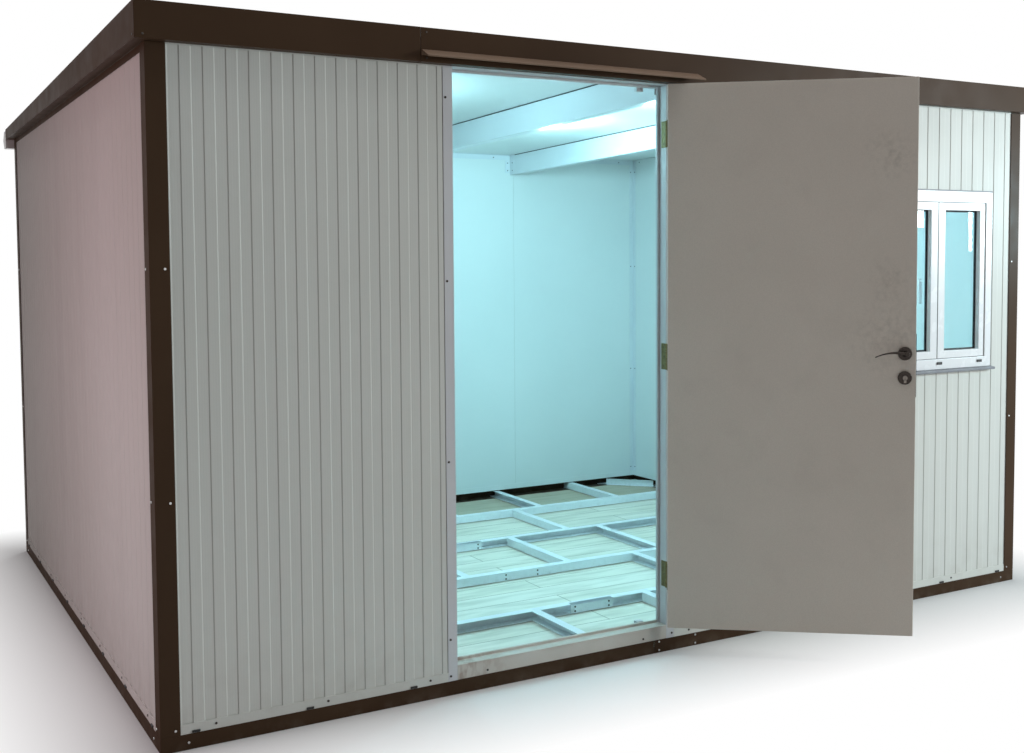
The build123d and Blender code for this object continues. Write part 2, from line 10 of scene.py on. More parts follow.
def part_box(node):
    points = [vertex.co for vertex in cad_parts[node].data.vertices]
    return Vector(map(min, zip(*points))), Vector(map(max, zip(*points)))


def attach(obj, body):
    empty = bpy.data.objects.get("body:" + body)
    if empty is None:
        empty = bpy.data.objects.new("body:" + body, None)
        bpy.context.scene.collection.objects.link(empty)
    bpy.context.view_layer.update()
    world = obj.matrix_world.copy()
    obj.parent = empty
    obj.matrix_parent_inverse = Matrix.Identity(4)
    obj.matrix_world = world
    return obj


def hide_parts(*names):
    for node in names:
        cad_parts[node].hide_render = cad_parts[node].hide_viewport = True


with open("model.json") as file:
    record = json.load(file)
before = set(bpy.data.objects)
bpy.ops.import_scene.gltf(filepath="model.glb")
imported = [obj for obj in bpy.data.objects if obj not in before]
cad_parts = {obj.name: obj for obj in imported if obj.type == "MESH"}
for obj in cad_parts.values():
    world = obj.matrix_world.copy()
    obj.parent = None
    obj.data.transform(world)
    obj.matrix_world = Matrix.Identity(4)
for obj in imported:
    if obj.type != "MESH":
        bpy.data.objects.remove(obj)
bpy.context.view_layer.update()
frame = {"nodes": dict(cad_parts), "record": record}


# Base frame. Folded channels of brown coil-coated steel lie on the ground round all four sides and carry
# the walls. The front one is in two lengths, lapped under the door. Dust lies along the lower edge.
def paint(red, green, blue):
    """A colour as read off a screen, turned into the light values that a shader takes."""
    straight = []
    for level in (red, green, blue):
        share = level / 255
        straight.append(share / 12.92 if share < 0.04045 else ((share + 0.055) / 1.055) ** 2.4)
    return (*straight, 1.0)


def wire(tree, kind, sockets, **settings):
    """Adds a shader node. Each socket takes a plain value or another node's output."""
    made = tree.nodes.new("ShaderNode" + kind)
    for name, value in settings.items():
        setattr(made, name, value)
    for name, value in sockets.items():
        if isinstance(value, bpy.types.NodeSocket):
            tree.links.new(value, made.inputs[name])
        else:
            made.inputs[name].default_value = value
    return made


def reckon(tree, operation, first, second=0.0):
    """The result of one math node."""
    return wire(tree, "Math", {0: first, 1: second}, operation=operation).outputs[0]


def times(tree, first, second):
    return reckon(tree, "MULTIPLY", first, second)


def new_finish(name, **constants):
    """A material with its shader's constants set, and the tree and shader that the rest is wired to."""
    finish = bpy.data.materials.new(name)
    finish.use_nodes = True
    shader = finish.node_tree.nodes["Principled BSDF"]
    for socket, value in constants.items():
        shader.inputs[socket.replace("_", " ")].default_value = value
    return finish, finish.node_tree, shader


def patches(tree, size, low, high, stretch=(1, 1, 1), detail=4.0):
    """A share from 0 to 1 that wanders in soft patches of about that size, longer where stretch is small."""
    place = wire(tree, "TexCoord", {}).outputs["Object"]
    place = wire(tree, "Mapping", {"Vector": place, "Scale": stretch}).outputs[0]
    noise = wire(tree, "TexNoise", {"Vector": place, "Scale": 1 / size, "Detail": detail}).outputs[0]
    return wire(tree, "MapRange", {"Value": noise, "From Min": low, "From Max": high}).outputs[0]


def along(tree, axis, start, end):
    """A share that is 0 up to start and 1 from end on, measured along one axis of the cabin."""
    place = wire(tree, "TexCoord", {}).outputs["Object"]
    reach = wire(tree, "SeparateXYZ", {0: place}).outputs[axis]
    return wire(tree, "MapRange", {"Value": reach, "From Min": start, "From Max": end}).outputs[0]


def tint(tree, share, first, second):
    """The first colour where the share is 0, the second where it is 1."""
    return wire(tree, "Mix", {0: share, 6: first, 7: second}, data_type="RGBA").outputs[2]


def between(tree, share, low, high):
    return wire(tree, "MapRange", {"Value": share, "To Min": low, "To Max": high}).outputs[0]


def lay_on(tree, shader, coat, rough):
    """Wires a colour and a roughness to the shader."""
    tree.links.new(coat, shader.inputs["Base Color"])
    tree.links.new(rough, shader.inputs["Roughness"])


def relief(tree, shader, height, depth, strength=1.0):
    """Lets a share stand up from the surface by that depth in metres."""
    bump = wire(tree, "Bump", {"Height": height, "Distance": depth, "Strength": strength})
    tree.links.new(bump.outputs[0], shader.inputs["Normal"])


def plain_finish(name, patch, shades, rough_patch, rough, grain=None, **constants):
    """A finish in two close shades and a range of roughness, with a fine grain of a size and strength."""
    finish, tree, shader = new_finish(name, **constants)
    coat = tint(tree, patches(tree, patch, 0.3, 0.7), *shades)
    lay_on(tree, shader, coat, between(tree, patches(tree, rough_patch, 0.3, 0.7), *rough))
    if grain:
        size, strength = grain
        relief(tree, shader, patches(tree, size, 0.2, 0.8), 0.0001, strength)
    return finish


def face_lean(tree):
    """The way a face is turned, as the three parts of its direction."""
    return wire(tree, "SeparateXYZ", {0: wire(tree, "NewGeometry", {}).outputs["Normal"]}).outputs


def turned_aside(tree):
    """A share that is 1 on faces turned to the cabin's left or right end, which are duller."""
    lean = reckon(tree, "ABSOLUTE", face_lean(tree)[0])
    return wire(tree, "MapRange", {"Value": lean, "From Min": 0.6, "From Max": 0.9}).outputs[0]


def dress(names, finish, edge=0.0):
    """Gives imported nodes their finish, and rounds their folds and edges where a width is given."""
    for name in names:
        node = frame["nodes"][name]
        for slot in node.material_slots:
            slot.material = finish
        if edge:
            weld = node.modifiers.new("corners joined", "WELD")
            weld.merge_threshold = 1e-5
            bevel = node.modifiers.new("edges rounded", "BEVEL")
            bevel.width = edge
            bevel.segments = 2
            bevel.limit_method = "ANGLE"
            bevel.angle_limit = math.radians(35)


def brown_finish(name, darker, lighter):
    """Satin brown coil coating in two close shades, dusty where it comes near the ground."""
    finish, tree, shader = new_finish(name)
    tree.links.new(between(tree, turned_aside(tree), 0.06, 0.006), shader.inputs["Specular IOR Level"])
    coat = tint(tree, patches(tree, 0.6, 0.35, 0.65), darker, lighter)
    dust = times(tree, along(tree, 2, 0.045, 0.0), patches(tree, 0.06, 0.45, 0.75))
    coat = tint(tree, times(tree, dust, 0.5), coat, paint(112, 99, 88))
    lay_on(tree, shader, coat, between(tree, patches(tree, 0.09, 0.3, 0.7), 0.34, 0.44))
    relief(tree, shader, patches(tree, 0.18, 0.2, 0.8, detail=1.0), 0.0012, 0.4)
    return finish


brown = brown_finish("brown_coating", paint(64, 47, 34), paint(72, 54, 40))
rails = ["base_" + part + "_rail" for part in ("back", "left", "right")]
dress(rails + ["base_front_rail_left", "base_front_rail_right"], brown, 0.0015)


def choose(piece, test):
    """Selects, in edit mode, the faces that the test names and nothing else."""
    bpy.ops.mesh.select_mode(type="FACE")
    bpy.ops.mesh.select_all(action="DESELECT")
    shape = bmesh.from_edit_mesh(piece.data)
    for face in shape.faces:
        if test(face):
            face.select_set(True)
    bmesh.update_edit_mesh(piece.data)


def pull(*way):
    """Extrudes the chosen faces by that much along x, y and z."""
    bpy.ops.mesh.extrude_region_move(TRANSFORM_OT_translate={"value": way})


def settle():
    """Moves the active piece's place, turn and scale into its mesh."""
    bpy.ops.object.transform_apply(location=True, rotation=True, scale=True)


def screw_head(radius, height, sides):
    """A screw head on the origin: a disc with a rounded rim and a recess for the driver."""
    bpy.ops.object.select_all(action="DESELECT")
    middle = (0, 0, height / 2)
    bpy.ops.mesh.primitive_cylinder_add(vertices=sides, radius=radius, depth=height, location=middle)
    head = bpy.context.object
    settle()
    bpy.ops.object.mode_set(mode="EDIT")
    choose(head, lambda face: face.normal.z > 0.9)
    bpy.ops.mesh.bevel(offset=height * 0.55, segments=2)
    choose(head, lambda face: face.normal.z > 0.99)
    bpy.ops.mesh.inset(thickness=radius * 0.3)
    pull(0, 0, -height * 0.5)
    bpy.ops.object.mode_set(mode="OBJECT")
    bpy.ops.object.shade_smooth_by_angle(angle=math.radians(35))
    return head


def fix(piece, finish, body):
    """Gives a new piece its finish and lets it ride on a body."""
    piece.data.materials.clear()
    piece.data.materials.append(finish)
    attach(piece, body)


def join(name, pieces):
    """Joins pieces into one of that name, with its place in its mesh."""
    bpy.ops.object.select_all(action="DESELECT")
    for piece in pieces:
        piece.select_set(True)
    bpy.context.view_layer.objects.active = pieces[0]
    settle()
    if len(pieces) > 1:
        bpy.ops.object.join()
    pieces[0].name = name
    return pieces[0]


def set_out(model, name, places):
    """Copies a small part to each point, upright along the direction given there, and joins the copies."""
    copies = []
    for point, direction in places:
        copy = model.copy()
        copy.data = model.data.copy()
        bpy.context.collection.objects.link(copy)
        turn = Vector(direction).to_track_quat("Z", "Y").to_matrix().to_4x4()
        copy.matrix_world = Matrix.Translation(point) @ turn
        copies.append(copy)
    return join(name, copies)


left_end, front_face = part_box("base_left_rail")[0][:2]
right_end, back_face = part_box("base_right_rail")[1][:2]
cabin_width, cabin_depth = right_end - left_end, back_face - front_face
side_lengths = {"front": cabin_width, "back": cabin_width, "left": cabin_depth, "right": cabin_depth}


def on_side(side, run, height, set_in=0.0):
    """A point on one side of the cabin, that far from its left or front end, and the way the side faces."""
    if side == "front":
        return (left_end + run, front_face + set_in, height), (0, -1, 0)
    if side == "back":
        return (left_end + run, back_face - set_in, height), (0, 1, 0)
    if side == "left":
        return (left_end + set_in, front_face + run, height), (-1, 0, 0)
    return (right_end - set_in, front_face + run, height), (1, 0, 0)


zinc_shades = (paint(50, 46, 43), paint(84, 79, 74))
dark_zinc = plain_finish("dark_zinc", 0.004, zinc_shades, 0.002, (0.3, 0.5), Metallic=0.7)
bare_steel, tree, shader = new_finish("brushed_steel", Metallic=1.0)
coat = tint(tree, patches(tree, 0.01, 0.3, 0.7), paint(176, 176, 176), paint(196, 196, 194))
brushing = patches(tree, 0.003, 0.3, 0.7, (1, 1, 0.05))
lay_on(tree, shader, coat, between(tree, brushing, 0.25, 0.45))

pan_head = screw_head(0.0042, 0.0024, 12)
lap_runs, lap_heights = (1.917, 2.094), (0.010, 0.043)
corner_in, rail_middle = 0.0875, 0.023
rail_screws = [on_side("front", run, height) for run in lap_runs for height in lap_heights]
for side, length in side_lengths.items():
    rail_screws += [on_side(side, run, rail_middle) for run in (corner_in, length - corner_in)]
fix(set_out(pan_head, "base_rail_screws", rail_screws), bare_steel, "cabin")


# Floor frame. Four white-painted channel joists run from side to side with short channels welded between
# them, diagonal trays in the corners and lapped plates screwed on at the joists' middles.
def white_finish(name, darker, lighter):
    """Satin white paint in two close shades, a little grimy where it comes near the ground."""
    finish, tree, shader = new_finish(name, Specular_IOR_Level=0.4)
    coat = tint(tree, patches(tree, 0.5, 0.3, 0.7), darker, lighter)
    grime = times(tree, along(tree, 2, 0.05, 0.0), patches(tree, 0.02, 0.5, 0.8))
    coat = tint(tree, times(tree, grime, 0.22), coat, paint(150, 146, 136))
    lay_on(tree, shader, coat, between(tree, patches(tree, 0.05, 0.3, 0.7), 0.36, 0.46))
    relief(tree, shader, patches(tree, 0.004, 0.2, 0.8), 0.0001, 0.3)
    return finish


# Painted light: the floor frame takes a lighter copy of the white steel paint, standing in for the light on it.
lit_floor_paint = white_finish("floor_frame_white_painted_light", paint(238, 241, 246), paint(243, 245, 249))
joists = ["floor_joist_1", "floor_joist_2", "floor_joist_3", "floor_joist_4"]
dress(joists + ["floor_joist_splices", "floor_noggins", "floor_corner_gussets"], lit_floor_paint)

lap_low, lap_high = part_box("floor_joist_splices")
lap_sheet, lap_half, lap_rows = 0.0025, 0.088, (0.013, 0.032)
lap_faces = [lap_low[1], lap_high[1] - lap_sheet]
lap_faces += [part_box(name)[0][1] for name in ("floor_joist_2", "floor_joist_4")]
lap_screws = []
for face in lap_faces:
    lap_screws += [((run, face, height), (0, -1, 0)) for run in (-lap_half, lap_half) for height in lap_rows]
fix(set_out(pan_head, "floor_splice_screws", lap_screws), dark_zinc, "cabin")


# Wall panels. Steel skins on a foam core, ribbed on the weather side and flat inside, in metre-wide lengths
# that lock edge to edge. The outside is grey-white and finely lined, the room side a cleaner white.
def within(tree, half_width, front, back):
    """A share that is 1 inside a rectangle on plan, that wide to each side of the cabin's middle."""
    place = wire(tree, "SeparateXYZ", {0: wire(tree, "TexCoord", {}).outputs["Object"]}).outputs
    inside = reckon(tree, "LESS_THAN", reckon(tree, "ABSOLUTE", place[0]), half_width)
    inside = times(tree, inside, reckon(tree, "GREATER_THAN", place[1], front))
    return times(tree, inside, reckon(tree, "LESS_THAN", place[1], back))


skin, lining_pitch = 0.0005, 0.0087
wall_right, wall_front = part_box("right_wall")[0][0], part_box("front_wall_left")[1][1]
wall_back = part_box("back_wall")[0][1]
panel, tree, shader = new_finish("panel_coating")
tree.links.new(between(tree, turned_aside(tree), 0.22, 0.0), shader.inputs["Specular IOR Level"])
room = within(tree, wall_right + skin, wall_front - skin, wall_back + skin)
weather = tint(tree, patches(tree, 0.9, 0.3, 0.7), paint(213, 214, 208), paint(218, 219, 214))
streak = times(tree, patches(tree, 0.22, 0.5, 0.8, (1, 1, 0.08)), 0.3)
weather = tint(tree, streak, weather, paint(194, 193, 190))
splash = times(tree, along(tree, 2, 0.32, 0.06), patches(tree, 0.08, 0.45, 0.8))
weather = tint(tree, times(tree, splash, 0.3), weather, paint(178, 171, 162))
# Painted shade: rib flanks turned to the left on the front and back walls are darkened to stand in for the
# shade they lie in.
lean = face_lean(tree)
painted_flank_shade = wire(tree, "MapRange", {"Value": lean[0], "From Min": -0.15, "From Max": -0.4}).outputs[0]
facing = reckon(tree, "GREATER_THAN", reckon(tree, "ABSOLUTE", lean[1]), 0.5)
weather = tint(tree, times(tree, times(tree, painted_flank_shade, facing), 0.25), weather, paint(120, 118, 114))
clean = tint(tree, patches(tree, 0.7, 0.3, 0.7), paint(228, 231, 231), paint(233, 235, 235))
coat = tint(tree, room, weather, clean)
lay_on(tree, shader, coat, between(tree, patches(tree, 0.3, 0.3, 0.7), 0.40, 0.48))
place = wire(tree, "SeparateXYZ", {0: wire(tree, "TexCoord", {}).outputs["Object"]}).outputs
run = reckon(tree, "ADD", place[0], place[1])
lining = reckon(tree, "SINE", times(tree, run, 2 * math.pi / lining_pitch))
lining = times(tree, times(tree, lining, reckon(tree, "SUBTRACT", 1.0, room)), 0.05)
waves = patches(tree, 0.35, 0.2, 0.8, detail=1.0)
relief(tree, shader, reckon(tree, "ADD", waves, lining), 0.0012, 0.4)
front_parts = ("left", "over_door", "middle", "under_window", "over_window", "right")
front_panels = ["front_wall_" + part for part in front_parts]
dress(front_panels + ["back_wall", "left_wall", "right_wall"], panel)


# Foot tracks and head strips. Folded channel coated like the panels, which stand in it. It is screwed to the
# base frame and drained through small hooded slots. A thin strip closes the panels' heads under the eaves.
dress(["wall_foot_tracks", "wall_head_strips"], panel)


def bar(name, low, high, edge):
    """A straight bar between two corners, with its edges rounded."""
    low, high = Vector(low), Vector(high)
    bpy.ops.object.select_all(action="DESELECT")
    bpy.ops.mesh.primitive_cube_add(size=1, location=(low + high) / 2)
    piece = bpy.context.object
    piece.name = name
    piece.scale = high - low
    settle()
    bpy.ops.object.mode_set(mode="EDIT")
    bpy.ops.mesh.select_all(action="SELECT")
    bpy.ops.mesh.bevel(offset=edge, segments=2)
    bpy.ops.object.mode_set(mode="OBJECT")
    return piece


door_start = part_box("door_jamb_left")[0][0] - left_end - 0.02
door_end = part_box("door_jamb_right")[1][0] - left_end + 0.02


def in_doorway(side, run):
    return side == "front" and door_start < run < door_end


track_end, drain_pitch, screw_aside, track_in = 0.112, 0.396, 0.064, 0.002
drain_height, screw_height = 0.0555, 0.067
track_screws, drains = [], []
for side, length in side_lengths.items():
    drained = length - 2 * track_end
    count = round(drained / drain_pitch)
    for number in range(count + 1):
        run = track_end + drained * number / count
        if not in_doorway(side, run):
            drains.append(on_side(side, run, drain_height, track_in))
        run = run + screw_aside
        if number < count and not in_doorway(side, run):
            track_screws.append(on_side(side, run, screw_height, track_in))
fix(set_out(pan_head, "foot_track_screws", track_screws), dark_zinc, "cabin")

hood = bar("drain_hood", (-0.013, -0.004, 0), (0.013, 0.004, 0.004), 0.0015)
bpy.ops.object.mode_set(mode="EDIT")
choose(hood, lambda face: face.normal.z > 0.99)
bpy.ops.mesh.inset(thickness=0.0012)
pull(0, 0, -0.0015)
bpy.ops.object.mode_set(mode="OBJECT")
black_shades = (paint(34, 33, 34), paint(46, 45, 45))
black_plastic = plain_finish(
    "black_plastic", 0.01, black_shades, 0.004, (0.4, 0.6), (0.002, 0.3), Specular_IOR_Level=0.4
)
fix(set_out(hood, "foot_track_drain_hoods", drains), black_plastic, "cabin")
bpy.data.objects.remove(hood)


# Corner trims. Brown folded angles riveted over the corners outside cover the cut ends of the panels. Slim
# white angles are screwed into the corners of the room.
trims = ["corner_trim_front_left", "corner_trim_front_right", "corner_trim_back_left", "corner_trim_back_right"]
dress(trims, brown, 0.001)
white_steel = white_finish("white_steel_paint", paint(222, 225, 230), paint(229, 232, 236))
dress(["inside_corner_angles"], white_steel)
rivet_in, rivet_heights = 0.047, (0.067, 0.783, 1.503)
trim_rivets = []
for side, length in side_lengths.items():
    for run in (rivet_in, length - rivet_in):
        trim_rivets += [on_side(side, run, height) for height in rivet_heights]
fix(set_out(pan_head, "corner_trim_rivets", trim_rivets), bare_steel, "cabin")

small_head = screw_head(0.0035, 0.0018, 10)
angle_sheet, angle_middle = 0.002, 0.020
room_left, room_right = angle_sheet - wall_right, wall_right - angle_sheet
room_front, room_back = wall_front + angle_sheet, wall_back - angle_sheet
room_ends = ((room_left, 1), (room_right, -1))
angle_screws = []
for height in (0.110, 0.790, 1.490, 2.130):
    for across, facing in room_ends:
        for depth, looking in ((room_front, 1), (room_back, -1)):
            angle_screws.append(((across + facing * angle_middle, depth, height), (0, looking, 0)))
            angle_screws.append(((across, depth + looking * angle_middle, height), (facing, 0, 0)))
fix(set_out(small_head, "inside_angle_screws", angle_screws), dark_zinc, "cabin")


# Rafters. White folded channels from front to back under the roof panel, held by cleats at their ends, with
# thin dark strips along their upper edges as painted shade in the gap against the ceiling. White angles run
# round the room where the walls meet the ceiling.
rafters = ["rafter_1", "rafter_2", "rafter_3"]
dress(rafters, white_steel, 0.002)
roof_low, roof_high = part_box("roof_panel")
roof_thick = 0.030
fall = (roof_high[2] - roof_thick - roof_low[2]) / (roof_high[1] - roof_low[1])


def ceiling(depth):
    """Height of the ceiling, which falls evenly from the front to the back."""
    return roof_high[2] - roof_thick - fall * (depth - roof_low[1])


def angle_strip(name, start, end, first_leg, second_leg, thickness):
    """A folded angle along a line: a strip laid along it, its edge folded out, given thickness."""
    start, end, first_leg, second_leg = Vector(start), Vector(end), Vector(first_leg), Vector(second_leg)
    length = end - start
    bpy.ops.object.select_all(action="DESELECT")
    bpy.ops.mesh.primitive_plane_add(size=1)
    strip = bpy.context.object
    strip.name = name
    third = length.cross(first_leg).normalized()
    turn = Matrix((length, first_leg, third)).transposed().to_4x4()
    strip.matrix_world = Matrix.Translation(start + (length + first_leg) / 2) @ turn
    settle()
    bpy.ops.object.mode_set(mode="EDIT")
    bpy.ops.mesh.select_mode(type="EDGE")
    bpy.ops.mesh.select_all(action="DESELECT")
    shape = bmesh.from_edit_mesh(strip.data)
    for edge in shape.edges:
        middle = (edge.verts[0].co + edge.verts[1].co) / 2
        if (middle - (start + end) / 2).length < 1e-4:
            edge.select_set(True)
    bmesh.update_edit_mesh(strip.data)
    pull(*second_leg)
    bpy.ops.mesh.select_all(action="SELECT")
    bpy.ops.mesh.normals_make_consistent(inside=False)
    bpy.ops.object.mode_set(mode="OBJECT")
    solid = strip.modifiers.new("thickness", "SOLIDIFY")
    solid.thickness = thickness
    solid.offset = 0
    bpy.ops.object.modifier_apply(modifier=solid.name)
    return strip


def let_fall(piece, start, end):
    """Lowers a bar's back end by as much as the ceiling falls between two depths."""
    bpy.ops.object.mode_set(mode="EDIT")
    choose(piece, lambda face: min(corner.co.y for corner in face.verts) > (start + end) / 2)
    bpy.ops.transform.translate(value=(0, 0, ceiling(end) - ceiling(start)))
    bpy.ops.object.mode_set(mode="OBJECT")


# Painted shade: thin dark strips along each rafter's upper edges stand in for the shadow in the gap under the
# ceiling.
strip_half, strip_tall, strip_off, strip_gap = 0.001, 0.004, 0.0006, 0.0003
strip_start, strip_end = room_front + 0.06, room_back - 0.06
strip_top = ceiling(strip_start) - strip_gap
gap_shade_strips = []
for name in rafters:
    low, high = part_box(name)
    for middle in (low[0] - strip_off, high[0] + strip_off):
        strip_low = (middle - strip_half, strip_start, strip_top - strip_tall)
        strip = bar("strip", strip_low, (middle + strip_half, strip_end, strip_top), 0.0004)
        let_fall(strip, strip_start, strip_end)
        gap_shade_strips.append(strip)
fix(join("rafter_painted_gap_shade", gap_shade_strips), black_plastic, "cabin")

bay_edges, rafter_gap = [room_left], 0.003
for name in rafters:
    low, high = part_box(name)
    bay_edges += [low[0] - rafter_gap, high[0] + rafter_gap]
bay_edges.append(room_right)
leg, sheet, off_wall, off_ceiling = 0.030, 0.0012, 0.001, 0.0014
head_off = off_wall + sheet / 2
cornices, cornice_screws = [], []
for start, end in zip(bay_edges[::2], bay_edges[1::2]):
    for depth, looking in ((room_back, -1), (room_front, 1)):
        height = ceiling(depth) - off_ceiling
        corner = [(run, depth + looking * off_wall, height) for run in (start, end)]
        flat_leg = (0, looking * leg, -looking * leg * fall)
        cornices.append(angle_strip("cornice", *corner, (0, 0, -leg), flat_leg, sheet))
        for run in (start + 0.12, (start + end) / 2, end - 0.12):
            cornice_screws.append(((run, depth + looking * head_off, height - 0.016), (0, looking, 0)))
for across, facing in room_ends:
    bend = across + facing * off_wall
    corner = [(bend, depth, ceiling(depth) - off_ceiling) for depth in (room_front, room_back)]
    cornices.append(angle_strip("cornice", *corner, (0, 0, -leg), (facing * leg, 0, 0), sheet))
    for depth in (0.15, 0.82, 1.49, 2.16, 2.84):
        cornice_screws.append(((across + facing * head_off, depth, ceiling(depth) - 0.018), (facing, 0, 0)))
fix(join("ceiling_angles", cornices), white_steel, "cabin")
fix(set_out(small_head, "ceiling_angle_screws", cornice_screws), dark_zinc, "cabin")

cleat_drop, cleat_tall, cleat_off, cleat_sheet = 0.034, 0.080, 0.0012, 0.002
cleat_face, wall_leg, rafter_leg = cleat_off + cleat_sheet / 2, 0.036, 0.050
cleats, cleat_screws = [], []
for name in rafters:
    side_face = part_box(name)[0][0]
    for depth, looking in ((room_back, -1), (room_front, 1)):
        top = ceiling(depth) - cleat_drop
        bend = (side_face - cleat_off, depth + looking * cleat_off)
        corner = [(*bend, height) for height in (top, top - cleat_tall)]
        legs = (-wall_leg, 0, 0), (0, looking * rafter_leg, 0)
        cleats.append(angle_strip("cleat", *corner, *legs, cleat_sheet))
        for drop in (0.016, 0.064):
            on_rafter = (side_face - cleat_face, depth + looking * 0.032, top - drop)
            on_wall = (side_face - 0.020, depth + looking * cleat_face, top - drop)
            cleat_screws += [(on_rafter, (-1, 0, 0)), (on_wall, (0, looking, 0))]
fix(join("rafter_cleats", cleats), white_steel, "cabin")
fix(set_out(small_head, "rafter_cleat_screws", cleat_screws), dark_zinc, "cabin")


# Roof. One layer of flat sandwich panels falling to the back, white below, with cover strips over the
# joints that are fixed by hexagon-headed screws.
roof, tree, shader = new_finish("roof_coating", Specular_IOR_Level=0.4)
upper = reckon(tree, "GREATER_THAN", face_lean(tree)[2], 0.5)
weather = tint(tree, patches(tree, 0.8, 0.3, 0.7), paint(198, 198, 195), paint(208, 208, 205))
runs = times(tree, patches(tree, 0.16, 0.48, 0.75, (1, 0.07, 1)), 0.4)
weather = tint(tree, runs, weather, paint(170, 166, 158))
clean = tint(tree, patches(tree, 0.7, 0.3, 0.7), paint(228, 231, 231), paint(233, 235, 235))
coat = tint(tree, upper, clean, weather)
lay_on(tree, shader, coat, between(tree, patches(tree, 0.2, 0.3, 0.7), 0.34, 0.46))
relief(tree, shader, patches(tree, 0.3, 0.2, 0.8, detail=1.0), 0.0012, 0.4)
dress(["roof_panel"], roof)

lip_front, lip_back, screw_in, screw_rows = front_face + 0.010, back_face - 0.010, 0.080, 7
cover_half, cover_sheet, crown_in, crown_rise = 0.035, 0.0022, 0.024, 0.003
panel_joints, screw_seat, screw_aside = (-1.0, 0.0, 1.0), 0.002, 0.023
covers, roof_screws = [], []
for run in panel_joints:
    top = ceiling(lip_front) + roof_thick
    cover_low = (run - cover_half, lip_front, top)
    cover = bar("cover", cover_low, (run + cover_half, lip_back, top + cover_sheet), 0.0008)
    bpy.ops.object.mode_set(mode="EDIT")
    choose(cover, lambda face: face.normal.z > 0.99)
    bpy.ops.mesh.inset(thickness=crown_in)
    pull(0, 0, crown_rise)
    bpy.ops.object.mode_set(mode="OBJECT")
    let_fall(cover, lip_front, lip_back)
    covers.append(cover)
    for number in range(screw_rows):
        depth = lip_front + screw_in + (lip_back - lip_front - 2 * screw_in) * number / (screw_rows - 1)
        height = ceiling(depth) + roof_thick + screw_seat
        for aside in (-screw_aside, screw_aside):
            roof_screws.append(((run + aside, depth, height), (0, fall, 1)))
fix(join("roof_joint_covers", covers), roof, "cabin")
hexagon = screw_head(0.0055, 0.004, 6)
fix(set_out(hexagon, "roof_cover_screws", roof_screws), dark_zinc, "cabin")
bpy.data.objects.remove(hexagon)


# Fascia and canopy. Brown folded trims round the roof's edge, lapped near the door and mitred at the
# corners, and a drip canopy over the doorway whose brown is painted paler for the light on its sloping top.
fascias = ["fascia_front_left", "fascia_front_right", "fascia_back", "fascia_left", "fascia_right"]
dress(fascias, brown, 0.001)
# Painted light: the canopy takes a paler copy of the brown coating, standing in for the light on its top.
dress(["door_canopy"], brown_finish("canopy_brown_painted_light", paint(120, 100, 85), paint(130, 109, 93)), 0.001)
overhang = front_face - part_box("fascia_front_left")[0][1]
rivet_low, rivet_high, lap_run, past_corner = 2.200, 2.285, 0.923, 0.012
fascia_rivets = [on_side("front", lap_run, height, -overhang) for height in (rivet_low, rivet_high)]
for side in ("front", "left", "right"):
    for run in (-past_corner, side_lengths[side] + past_corner):
        fascia_rivets.append(on_side(side, run, rivet_low, -overhang))
fix(set_out(small_head, "fascia_rivets", fascia_rivets), dark_zinc, "cabin")


# Gutter. Light grey plastic gutter along the low back edge, with caps at its ends, held by straps that
# reach over it from the eaves.
grey_shades = (paint(196, 194, 192), paint(204, 202, 200))
gutter_plastic = plain_finish(
    "gutter_plastic", 0.4, grey_shades, 0.06, (0.3, 0.42), (0.01, 0.3), Specular_IOR_Level=0.45
)
dress(["gutter", "gutter_end_caps"], gutter_plastic, 0.001)

gutter_low, gutter_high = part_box("gutter")
strap_half, strap_thick, strap_hook, strap_count, first_strap = 0.0125, 0.003, 0.014, 6, -1.9
straps = []
for number in range(strap_count):
    run = first_strap - 2 * first_strap * number / (strap_count - 1)
    strap_low = (run - strap_half, gutter_low[1] + 0.001, gutter_high[2])
    strap = bar("strap", strap_low, (run + strap_half, gutter_high[1], gutter_high[2] + strap_thick), 0.0008)
    bpy.ops.object.mode_set(mode="EDIT")
    choose(strap, lambda face: face.normal.y > 0.99)
    pull(0, strap_thick, 0)
    choose(strap, lambda face: face.normal.z < -0.99 and face.calc_center_median().y > gutter_high[1])
    pull(0, 0, -strap_hook)
    bpy.ops.object.mode_set(mode="OBJECT")
    straps.append(strap)
fix(join("gutter_straps", straps), gutter_plastic, "cabin")


# Door frame. Folded jambs, head and stepped threshold in grey-white satin paint, screwed to the panels, with
# a soft seal against the stop, keeps for the leaf's bolts and a striking plate for the lock. The threshold
# is worn and warmer in tone.
frame_shades = (paint(204, 205, 209), paint(210, 211, 214))
frame_paint = plain_finish(
    "door_frame_paint", 0.3, frame_shades, 0.05, (0.36, 0.46), (0.006, 0.3), Specular_IOR_Level=0.4
)
dress(["door_jamb_left", "door_jamb_right", "door_head"], frame_paint, 0.0012)

worn_paint, tree, shader = new_finish("threshold_paint", Specular_IOR_Level=0.35)
coat = tint(tree, patches(tree, 0.25, 0.3, 0.7), paint(196, 190, 182), paint(206, 201, 194))
rub = times(tree, along(tree, 2, 0.085, 0.105), patches(tree, 0.03, 0.4, 0.7, (0.25, 1, 1)))
coat = tint(tree, times(tree, rub, 0.45), coat, paint(163, 153, 142))
smear = times(tree, along(tree, 0, -0.74, -0.95), patches(tree, 0.03, 0.48, 0.62, (1, 1, 0.5)))
coat = tint(tree, times(tree, smear, 0.6), coat, paint(140, 112, 96))
lay_on(tree, shader, coat, between(tree, patches(tree, 0.04, 0.3, 0.7), 0.38, 0.55))
relief(tree, shader, patches(tree, 0.005, 0.2, 0.8), 0.0001, 0.4)
dress(["door_threshold"], worn_paint, 0.0015)

jamb_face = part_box("door_jamb_left")[0][1]
jamb_runs, jamb_heights = (-0.989, -0.020), (0.068, 0.198, 0.825, 1.453, 2.080)
frame_spots = [(run, height) for run in jamb_runs for height in jamb_heights]
frame_spots += [(-0.842, 0.065), (-0.157, 0.065)]
frame_screws = [((run, jamb_face, height), (0, -1, 0)) for run, height in frame_spots]
fix(set_out(pan_head, "door_frame_screws", frame_screws), dark_zinc, "cabin")

